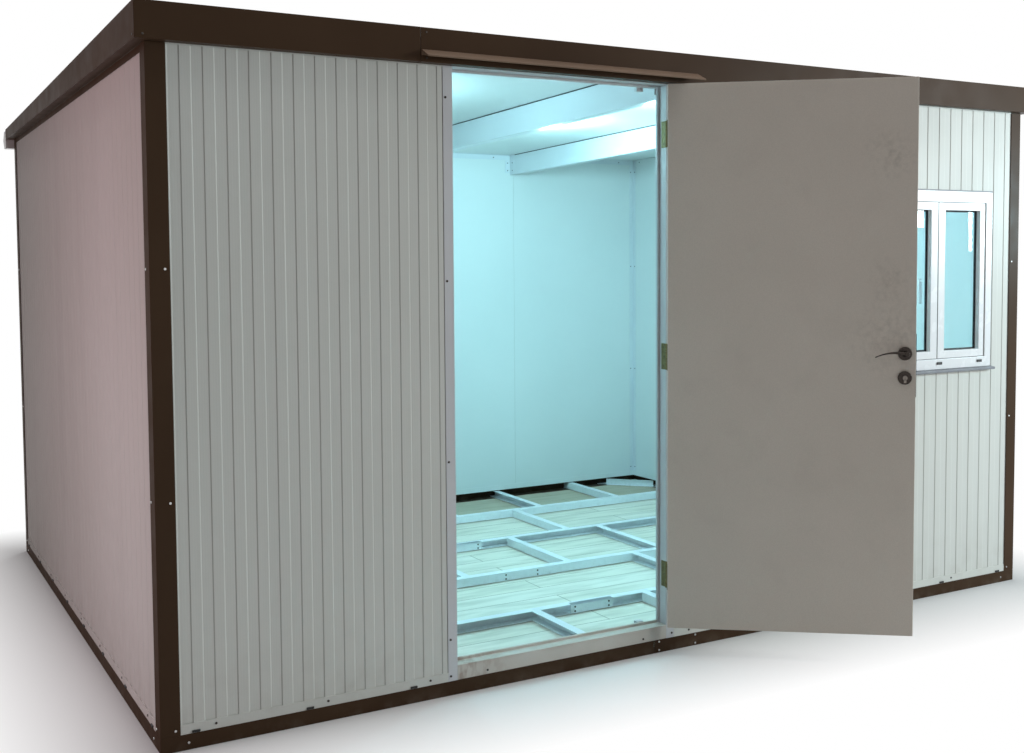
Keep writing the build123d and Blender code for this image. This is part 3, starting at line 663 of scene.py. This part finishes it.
head_low, head_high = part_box("door_head")
rebate_left, rebate_right = head_low[0], head_high[0]
head_rebate, stop_face = head_low[2] + 0.010, head_high[1] - 0.009
seal_face, seal_edge, seal_near, seal_far = stop_face - 0.0035, 0.0012, 0.001, 0.009
seal_foot, seal_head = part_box("door_threshold")[1][2] + 0.001, head_rebate - 0.002
door_seals = []
for left, right in (
    (rebate_left + seal_near, rebate_left + seal_far),
    (rebate_right - seal_far, rebate_right - seal_near),
):
    door_seals.append(bar("seal", (left, seal_face, seal_foot), (right, stop_face, seal_head), seal_edge))
head_seal_low = (rebate_left + seal_far, seal_face, head_rebate - seal_far)
head_seal_high = (rebate_right - seal_far, stop_face, head_rebate - seal_near)
door_seals.append(bar("seal", head_seal_low, head_seal_high, seal_edge))
seal_shades = (paint(190, 191, 193), paint(201, 202, 203))
grey_rubber = plain_finish(
    "grey_seal_rubber", 0.02, seal_shades, 0.006, (0.6, 0.8), (0.003, 0.4), Specular_IOR_Level=0.3
)
fix(join("door_frame_seal", door_seals), grey_rubber, "cabin")

keep_left, keep_right, keep_front = rebate_right - 0.098, rebate_right - 0.068, head_high[1] + 0.0005
keeps = [
    bar("keep", (keep_left, keep_front, 2.160), (keep_right, 0.044, 2.186), 0.002),
    bar("keep", (keep_left, keep_front, 0.098), (keep_right, 0.050, 0.116), 0.002),
]
for keep in keeps:
    bpy.context.view_layer.objects.active = keep
    bpy.ops.object.mode_set(mode="EDIT")
    choose(keep, lambda face: face.normal.y < -0.99)
    bpy.ops.mesh.inset(thickness=0.004)
    pull(0, 0.004, 0)
    bpy.ops.object.mode_set(mode="OBJECT")
fix(join("door_bolt_keeps", keeps), frame_paint, "cabin")

forend_low, forend_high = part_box("door_lock_forend")
forend_middle = (forend_low[2] + forend_high[2]) / 2
strike_half, strike_sheet, slot_depth = 0.085, 0.0016, 0.0014
strike_low = (rebate_left, -0.020, forend_middle - strike_half)
strike_high = (rebate_left + strike_sheet, 0.006, forend_middle + strike_half)
strike = bar("lock_strike_plate", strike_low, strike_high, 0.0004)
bolt_slots = ((forend_middle + 0.030, forend_middle + 0.060), (forend_middle - 0.055, forend_middle - 0.020))
bpy.ops.object.mode_set(mode="EDIT")
for foot, head in bolt_slots:
    for height in (foot, head):
        bpy.ops.mesh.select_all(action="SELECT")
        bpy.ops.mesh.bisect(plane_co=(0, 0, height), plane_no=(0, 0, 1))
for foot, head in bolt_slots:
    choose(strike, lambda face: face.normal.x > 0.99 and foot < face.calc_center_median().z < head)
    bpy.ops.mesh.inset(thickness=0.005)
    pull(-slot_depth, 0, 0)
bpy.ops.object.mode_set(mode="OBJECT")
fix(strike, bare_steel, "cabin")


# Door leaf. A flush leaf of painted steel sheet on a foam core, hung on three brass butts with sunk screws.
# The paint is a matt warm off-white, marked by hands near the lock and at the top.
leaf_paint, tree, shader = new_finish("door_leaf_paint", Specular_IOR_Level=0.3)
coat = tint(tree, patches(tree, 0.5, 0.3, 0.7), paint(218, 208, 196), paint(224, 214, 202))
smudge = times(tree, patches(tree, 0.16, 0.55, 0.8), 0.12)
coat = tint(tree, smudge, coat, paint(172, 163, 153))
coat = tint(tree, times(tree, patches(tree, 0.004, 0.35, 0.65), 0.16), coat, paint(182, 174, 164))


def mark(tree, spot, radius):
    """A share that is 1 at a spot on the cabin and fades to 0 at that radius, broken up by fine patches."""
    place = wire(tree, "TexCoord", {}).outputs["Object"]
    apart = wire(tree, "VectorMath", {0: place, 1: spot}, operation="DISTANCE").outputs["Value"]
    near = wire(tree, "MapRange", {"Value": apart, "From Min": radius, "From Max": 0.0}).outputs[0]
    return times(tree, near, patches(tree, 0.02, 0.42, 0.72))


lever_low, lever_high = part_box("door_lever")
lock_side = [(low + high) / 2 for low, high in zip(lever_low, lever_high)]
for height, radius in ((lock_side[2] + 0.06, 0.18), (1.44, 0.10), (1.90, 0.12)):
    handled = times(tree, mark(tree, (lock_side[0], lock_side[1], height), radius), 0.35)
    coat = tint(tree, handled, coat, paint(140, 131, 122))
lay_on(tree, shader, coat, between(tree, patches(tree, 0.06, 0.3, 0.7), 0.48, 0.6))
relief(tree, shader, patches(tree, 0.003, 0.2, 0.8), 0.0001, 0.4)
dress(["door_leaf"], leaf_paint, 0.0015)

brass_shades = (paint(128, 120, 80), paint(100, 92, 58))
brass = plain_finish("dull_brass", 0.015, brass_shades, 0.004, (0.45, 0.6), Metallic=0.5)
dress(["door_hinge_leaf_plates", "door_hinge_jamb_plates"], brass, 0.0005)

joints = {joint["name"]: joint for joint in frame["record"]["behaviour"]["joints"]}
hinge_pin = Vector(joints["door_swing"]["pos_m"])
open_turn = Matrix.Rotation(math.radians(-joints["door_swing"]["range_deg"][0]), 4, "Z")
swing = Matrix.Translation(hinge_pin) @ open_turn @ Matrix.Translation(-hinge_pin)


def swing_open(piece):
    """Turns a piece that was made for the shut door with the leaf to where it stands open."""
    piece.matrix_world = swing
    return join(piece.name, [piece])


leaf_gap, leaf_outer, leaf_thick = 0.005, jamb_face, 0.040
leaf_left, leaf_right, leaf_inner = rebate_left + leaf_gap, rebate_right - leaf_gap, leaf_outer + leaf_thick
plate, sunk, plate_half = 0.0023, 0.0007, 0.050
plates_low, plates_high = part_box("door_hinge_jamb_plates")
lowest, highest = plates_low[2] + plate_half, plates_high[2] - plate_half
jamb_hinge_screws, leaf_hinge_screws = [], []
for middle in (lowest, (lowest + highest) / 2, highest):
    for rise, depth in ((-0.036, -0.012), (0.0, -0.018), (0.036, -0.012)):
        jamb_hinge_screws.append(((rebate_right - plate + sunk, depth, middle + rise), (-1, 0, 0)))
        leaf_hinge_screws.append(((leaf_right + plate - sunk, depth, middle + rise), (1, 0, 0)))
flat_head = screw_head(0.0034, 0.0008, 10)
fix(set_out(flat_head, "hinge_jamb_screws", jamb_hinge_screws), dark_zinc, "cabin")
leaf_screws = swing_open(set_out(flat_head, "hinge_leaf_screws", leaf_hinge_screws))
fix(leaf_screws, dark_zinc, "door")
for model in (flat_head, small_head, pan_head):
    bpy.data.objects.remove(model)


# Lock. A mortice lock with a cover plate on the leaf's edge, slim bronze lever handles on both faces that
# taper to their ends, and a nickel key cylinder of the usual keyhole outline, in round roses.
bronze_shades = (paint(42, 35, 31), paint(54, 47, 42))
bronze = plain_finish("dark_bronze", 0.02, bronze_shades, 0.008, (0.22, 0.36), Metallic=0.7)
dress(["door_lock_roses"], bronze, 0.0008)
dress(["door_lock_forend"], bare_steel)

lock_across, lever_height = leaf_left + 0.040, joints["lever_turn"]["pos_m"][2]
leaf_middle = (leaf_outer + leaf_inner) / 2
spindle, neck, neck_length = 0.005, 0.009, 0.048
bpy.ops.object.select_all(action="DESELECT")
bpy.ops.mesh.primitive_cylinder_add(
    vertices=20,
    radius=spindle,
    depth=leaf_thick,
    location=(lock_across, leaf_middle, lever_height),
    rotation=(math.pi / 2, 0, 0),
)
shaft = bpy.context.object
settle()


def choose_end(outward):
    """Selects the shaft's end face on one side of the leaf."""
    def is_end(face):
        beyond = (face.calc_center_median().y - leaf_middle) * outward
        return beyond > 0 and face.normal.y * outward > 0.99

    choose(shaft, is_end)


bpy.ops.object.mode_set(mode="EDIT")
for outward in (-1, 1):
    choose_end(outward)
    pull(0, 0, 0)
    bpy.ops.transform.resize(value=(neck / spindle, 1, neck / spindle))
    pull(0, outward * neck_length, 0)
    choose_end(outward)
    bpy.ops.mesh.bevel(offset=0.003, segments=3)
bpy.ops.object.mode_set(mode="OBJECT")

root, tip, heel, lever_length, rise, droop, steps = 0.0070, 0.0022, 0.010, 0.112, 0.0045, 0.011, 10
stations = [(-0.0067, 0.85 * root), (0.0, root)]
for step in range(1, steps + 1):
    stations.append((lever_length * step / steps, tip + (root - tip) * (1 - step / steps) ** 1.6))
stations.append((lever_length * 1.015, 0.45 * tip))


def bow(run):
    """Height of the lever's curve over its root, that far along it."""
    share = max(run, 0) / lever_length
    return (4 * rise + droop) * share - (4 * rise + 2 * droop) * share * share


handles = [shaft]
grip_out = neck_length - 0.0065
for depth in (leaf_outer - grip_out, leaf_inner + grip_out):
    bpy.ops.object.select_all(action="DESELECT")
    bpy.ops.mesh.primitive_circle_add(
        vertices=14,
        radius=0.45 * root,
        fill_type="NGON",
        location=(lock_across - heel, depth, lever_height),
        rotation=(0, math.pi / 2, 0),
    )
    grip = bpy.context.object
    settle()
    bpy.ops.object.mode_set(mode="EDIT")
    bpy.ops.mesh.select_all(action="SELECT")
    last_run, last_half = -heel, 0.45 * root
    for run, half in stations:
        pull(run - last_run, 0, bow(run) - bow(last_run))
        bpy.ops.transform.resize(value=(1, (half / last_half) ** 0.6, half / last_half))
        last_run, last_half = run, half
    bpy.ops.mesh.select_all(action="SELECT")
    bpy.ops.mesh.normals_make_consistent(inside=False)
    bpy.ops.object.mode_set(mode="OBJECT")
    handles.append(grip)
handle = swing_open(join("door_lever_handles", handles))
bpy.ops.object.shade_smooth_by_angle(angle=math.radians(35))
fix(handle, bronze, "lever")
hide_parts("door_lever")

nickel_shades = (paint(112, 105, 98), paint(134, 127, 120))
nickel = plain_finish("worn_nickel", 0.006, nickel_shades, 0.003, (0.3, 0.45), Metallic=0.7)
dress(["door_lock_cylinder"], nickel)
cylinder_low, cylinder_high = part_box("door_lock_cylinder")
cylinder_height = (cylinder_low[2] + cylinder_high[2]) / 2
rose_face, cylinder_face, tail_half = 0.0078, 0.011, 0.005
tail_foot, tail_top = cylinder_height - 0.0185, cylinder_height - 0.004
tails = []
for near, far in (
    (leaf_outer - cylinder_face, leaf_outer - rose_face),
    (leaf_inner + rose_face, leaf_inner + cylinder_face),
):
    tail_low = (lock_across - tail_half, near, tail_foot)
    tails.append(bar("tail", tail_low, (lock_across + tail_half, far, tail_top), 0.0012))
fix(swing_open(join("lock_cylinder_tails", tails)), nickel, "door")

edge_thick, edge_half = 0.0026, 0.016
edge_low = (leaf_left - edge_thick, leaf_middle - edge_half, forend_low[2])
edge_plate = bar("lock_cover_plate", edge_low, (leaf_left, leaf_middle + edge_half, forend_high[2]), 0.0006)
fix(swing_open(edge_plate), bronze, "door")


# Window. A white plastic double casement with sealed panes in dark gaskets, drained through hooded slots in
# the lower rail, an inside handle and a sloping sill. A grey trim covers the cut edge of the panel.
white_shades = (paint(234, 235, 238), paint(238, 239, 241))
window_white = plain_finish(
    "window_plastic", 0.4, white_shades, 0.05, (0.22, 0.3), (0.02, 0.2), Specular_IOR_Level=0.5
)
sashes = ["window_sash_left", "window_sash_right"]
dress(sashes + ["window_frame", "window_handle"], window_white, 0.002)

glass, tree, shader = new_finish("window_glass", Transmission_Weight=1.0, IOR=1.45)
coat = tint(tree, patches(tree, 0.3, 0.3, 0.7), paint(245, 251, 252), paint(238, 249, 251))
lay_on(tree, shader, coat, between(tree, patches(tree, 0.08, 0.5, 0.8), 0.0, 0.04))
dress(["window_panes"], glass)


def rim(low, high, outer, inner, width):
    """A rectangular rim standing on edge in the front wall, between two depths, of that width inwards."""
    bpy.ops.object.select_all(action="DESELECT")
    middle = ((low[0] + high[0]) / 2, outer, (low[1] + high[1]) / 2)
    bpy.ops.mesh.primitive_plane_add(size=1, location=middle, rotation=(math.pi / 2, 0, 0))
    piece = bpy.context.object
    piece.scale = (high[0] - low[0], high[1] - low[1], 1)
    settle()
    bpy.ops.object.mode_set(mode="EDIT")
    bpy.ops.mesh.select_all(action="SELECT")
    bpy.ops.mesh.inset(thickness=width)
    bpy.ops.mesh.delete(type="FACE")
    bpy.ops.mesh.select_all(action="SELECT")
    pull(0, inner - outer, 0)
    bpy.ops.mesh.select_all(action="SELECT")
    bpy.ops.mesh.normals_make_consistent(inside=False)
    bpy.ops.object.mode_set(mode="OBJECT")
    return piece


stile, meeting_stile, rail, pane_half, seal_over = 0.035, 0.045, 0.035, 0.004, 0.0003
gasket_set_in, outer_gasket, inner_gasket, edge_seal = 0.020, 0.003, 0.007, 0.0022
gaskets = []
for name, first, last in zip(sashes, (stile, meeting_stile), (meeting_stile, stile)):
    low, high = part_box(name)
    light_low = (low[0] + first, low[2] + rail)
    light_high = (high[0] - last, high[2] - rail)
    gaskets.append(rim(light_low, light_high, low[1] + gasket_set_in, 0.0, outer_gasket))
    gaskets.append(rim(light_low, light_high, -pane_half, pane_half, inner_gasket))
    edge_low = (low[0] - seal_over, low[2] - seal_over)
    edge_high = (high[0] + seal_over, high[2] + seal_over)
    gaskets.append(rim(edge_low, edge_high, low[1] - 0.0004, low[1] + 0.004, edge_seal))
rubber_shades = (paint(26, 28, 36), paint(36, 38, 46))
rubber = plain_finish("gasket_rubber", 0.02, rubber_shades, 0.005, (0.45, 0.65), Specular_IOR_Level=0.35)
fix(join("window_gaskets", gaskets), rubber, "cabin")

frame_low, frame_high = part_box("window_frame")
hood_half, hood_proud = 0.016, 0.004
hood_foot, hood_head = frame_low[2] + 0.021, frame_low[2] + 0.033
weep_hoods = []
for run in (1.208, 1.472, 1.736):
    hood_low = (run - hood_half, frame_low[1] - hood_proud, hood_foot)
    hood = bar("hood", hood_low, (run + hood_half, frame_low[1], hood_head), 0.0014)
    bpy.ops.object.mode_set(mode="EDIT")
    choose(hood, lambda face: face.normal.y < -0.99)
    bpy.ops.mesh.inset(thickness=0.0012)
    pull(0, 0.0015, 0)
    bpy.ops.object.mode_set(mode="OBJECT")
    weep_hoods.append(hood)
fix(join("window_weep_hoods", weep_hoods), black_plastic, "cabin")

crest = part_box("front_wall_middle")[0][1]
trim_width, trim_face, trim_edge = 0.005, crest - 0.003, 0.0008
trim_top = frame_high[2] + trim_width
trim_bars = []
for left, right, foot in (
    (frame_low[0] - trim_width, frame_low[0], frame_low[2]),
    (frame_high[0], frame_high[0] + trim_width, frame_low[2]),
    (frame_low[0], frame_high[0], frame_high[2]),
):
    trim_bars.append(bar("trim", (left, trim_face, foot), (right, crest, trim_top), trim_edge))
trim_shades = (paint(120, 123, 130), paint(134, 137, 143))
trim_grey = plain_finish("window_trim_grey", 0.05, trim_shades, 0.02, (0.4, 0.55), Specular_IOR_Level=0.4)
fix(join("window_cover_trim", trim_bars), trim_grey, "cabin")
dress(["window_sill"], trim_grey, 0.0012)


# Floor and lamps. A pale floor that fades into a white surround, soft light from above, from the left and
# from the right in front, a lamp by the window end, and cool lamps inside under the ceiling.
middle_depth = (front_face + back_face) / 2
bpy.ops.object.select_all(action="DESELECT")
bpy.ops.mesh.primitive_plane_add(size=60, location=(0, 1.5, -0.0005))
settle()
ground = bpy.context.object
ground.name = "ground"
floor_white, tree, shader = new_finish("ground_white", Roughness=0.9, Specular_IOR_Level=0.1)
place = wire(tree, "TexCoord", {}).outputs["Object"]
under = within(tree, right_end - 0.01, front_face + 0.01, back_face - 0.01)
boards = wire(
    tree,
    "TexBrick",
    {
        "Vector": place,
        "Color1": paint(226, 228, 214),
        "Color2": paint(234, 235, 225),
        "Mortar": paint(140, 142, 126),
        "Scale": 1.0,
        "Mortar Size": 0.0022,
        "Brick Width": 2.4,
        "Row Height": 0.14,
    },
).outputs["Color"]
# Painted shade: the boards under the cabin are darkened towards the back wall.
shaded = times(tree, along(tree, 1, 2.30, 2.60), 0.65)
weathered = times(tree, patches(tree, 0.05, 0.42, 0.72, (0.15, 1, 1)), 0.5)
boards = tint(tree, weathered, boards, paint(158, 168, 150))
boards = tint(tree, shaded, boards, paint(128, 136, 106))
tree.links.new(tint(tree, under, paint(212, 212, 212), boards), shader.inputs["Base Color"])
centred = wire(tree, "VectorMath", {0: place, 1: (0, middle_depth, 0)}, operation="SUBTRACT").outputs[0]
centred = wire(tree, "VectorMath", {0: centred}, operation="ABSOLUTE").outputs[0]
half_plan = (cabin_width / 2, cabin_depth / 2, 0)
beyond = wire(tree, "VectorMath", {0: centred, 1: half_plan}, operation="SUBTRACT").outputs[0]
beyond = wire(tree, "VectorMath", {0: beyond, 1: (0, 0, 0)}, operation="MAXIMUM").outputs[0]
beyond = wire(tree, "VectorMath", {0: beyond}, operation="LENGTH").outputs["Value"]
far = wire(tree, "MapRange", {"Value": beyond, "From Min": -0.04, "From Max": 0.55}).outputs[0]


def seen_directly(tree):
    """A share that is 1 for what the camera, a mirror or clear glass shows, and 0 for light on things."""
    ray = wire(tree, "LightPath", {}).outputs
    seen = reckon(tree, "MAXIMUM", ray["Is Camera Ray"], ray["Is Glossy Ray"])
    return reckon(tree, "MAXIMUM", seen, ray["Is Transmission Ray"])


glow = wire(tree, "Emission", {"Color": (1, 1, 1, 1), "Strength": 1.0}).outputs[0]
faded = times(tree, far, seen_directly(tree))
surface = wire(tree, "MixShader", {0: faded, 1: shader.outputs[0], 2: glow}).outputs[0]
tree.links.new(surface, tree.nodes["Material Output"].inputs["Surface"])
ground.data.materials.append(floor_white)

surround = bpy.data.worlds.new("surround")
bpy.context.scene.world = surround
surround.use_nodes = True
tree = surround.node_tree
sky = tree.nodes["Background"]
sky.inputs["Color"].default_value = (0.13, 0.13, 0.13, 1)
white = wire(tree, "Background", {"Color": (1, 1, 1, 1), "Strength": 1.0})
mixed = wire(tree, "MixShader", {0: seen_directly(tree), 1: sky.outputs[0], 2: white.outputs[0]}).outputs[0]
tree.links.new(mixed, tree.nodes["World Output"].inputs["Surface"])


def soft_lamp(name, place, target, width, height, watts, colour):
    """A rectangular lamp that faces a target and isn't seen itself."""
    bpy.ops.object.light_add(type="AREA", location=place)
    lamp = bpy.context.object
    lamp.name = name
    lamp.rotation_euler = (Vector(target) - Vector(place)).to_track_quat("-Z", "Y").to_euler()
    lamp.data.shape = "RECTANGLE"
    lamp.data.size = width
    lamp.data.size_y = height
    lamp.data.energy = watts
    lamp.data.color = colour
    lamp.visible_camera = False


soft_lamp("lamp_above", (0, 1.5, 7.5), (0, 1.5, 0), 8.0, 8.0, 310, (1, 1, 1))
soft_lamp("lamp_right", (5.2, -4.0, 2.4), (-0.6, 0, 1.2), 1.2, 1.2, 186, (0.95, 1.0, 1.0))
soft_lamp("lamp_window_end", (3.72, -1.40, 1.80), (1.6, 0, 1.4), 0.36, 0.46, 28, (0.60, 0.90, 1.0))
soft_lamp("lamp_left", (-4.6, 0.3, 2.0), (-2.0, 0.3, 1.2), 1.2, 1.2, 15, (1.0, 0.48, 0.54))
soft_lamp("lamp_left_near", (-3.4, 0.35, 0.8), (-2.0, 0.35, 0.8), 0.8, 0.8, 3.2, (0.98, 0.92, 1.0))
soft_lamp("lamp_behind", (2.5, 7.0, 3.0), (0.5, 2.0, 1.2), 3.0, 2.0, 120, (1, 1, 1))

cool = (0.46, 0.90, 1.0)
for name, place, watts in (
    ("lamp_inside_front", (0.40, 0.60, 2.10), 25),
    ("lamp_inside_back", (0.40, 1.50, 2.08), 24),
    ("lamp_inside_left", (-0.85, 0.90, 2.05), 15),
):
    bpy.ops.object.light_add(type="POINT", location=place)
    lamp = bpy.context.object
    lamp.name = name
    lamp.data.energy = watts
    lamp.data.color = cool
    lamp.data.shadow_soft_size = 0.06
    lamp.visible_camera = False

bpy.ops.object.camera_add()
camera = bpy.context.object
turn, tip_down, roll = math.radians(28.63796), math.radians(-3.16254), math.radians(-0.47468)
ahead = Vector((math.sin(turn) * math.cos(tip_down), math.cos(turn) * math.cos(tip_down), math.sin(tip_down)))
level = Vector((math.cos(turn), -math.sin(turn), 0))
upright = level.cross(ahead)
across = math.cos(roll) * level + math.sin(roll) * upright
top = math.cos(roll) * upright - math.sin(roll) * level
stand = Matrix.Translation((-2.81549, -3.60638, 1.50689))
camera.matrix_world = stand @ Matrix((across, top, -ahead)).transposed().to_4x4()
camera.data.sensor_width = 36
camera.data.lens = 40.98993
camera.data.shift_x = 0.0312028
camera.data.shift_y = -0.0458046
bpy.context.scene.camera = camera
bpy.context.scene.view_settings.view_transform = "Standard"
